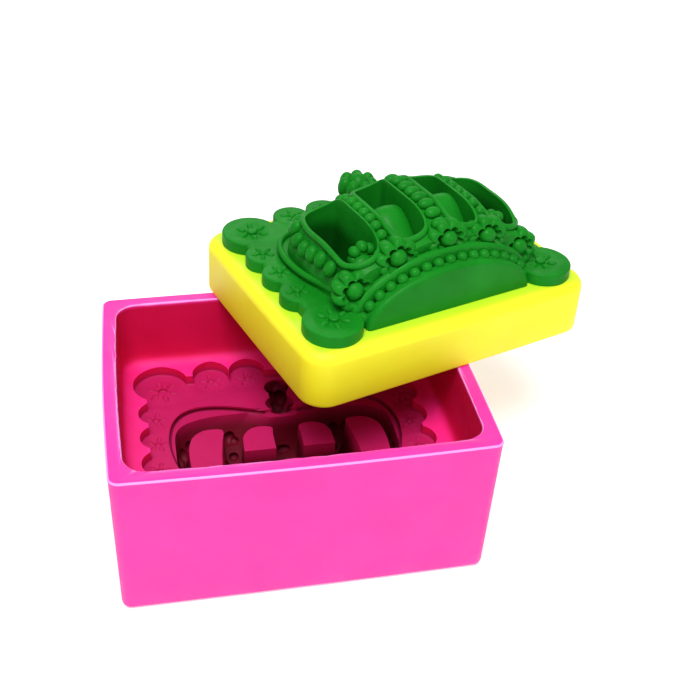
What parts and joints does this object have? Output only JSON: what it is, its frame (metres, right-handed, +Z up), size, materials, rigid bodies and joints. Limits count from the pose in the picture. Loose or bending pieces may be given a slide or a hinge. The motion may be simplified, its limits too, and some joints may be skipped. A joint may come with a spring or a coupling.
{
  "type": "soap mould",
  "caption": "Rectangular silicone soap mould with a crown relief in its floor and the two-colour crown soap bar cast in it lying on its rim.",
  "frame": {"origin": "centre of the mould's flat underside, on the table", "axes": "+Z up out of the cavity, +X along the mould's length, +Y along its width towards the back"},
  "size_m": [0.1237, 0.102, 0.0773],
  "materials": {
    "silicone_pink": "satin translucent silicone rubber",
    "soap_yellow": null,
    "soap_green": null
  },
  "bodies": {
    "mould": {"silicone_mould": "silicone_pink"},
    "soap_bar": {"soap_base": "soap_yellow", "soap_relief": "soap_green"}
  },
  "joints": [
    {"name": "soap_lift", "type": "slide", "parent": "mould", "child": "soap_bar", "axis": [0, 0, 1], "range_m": [0, 0.06]}
  ]
}
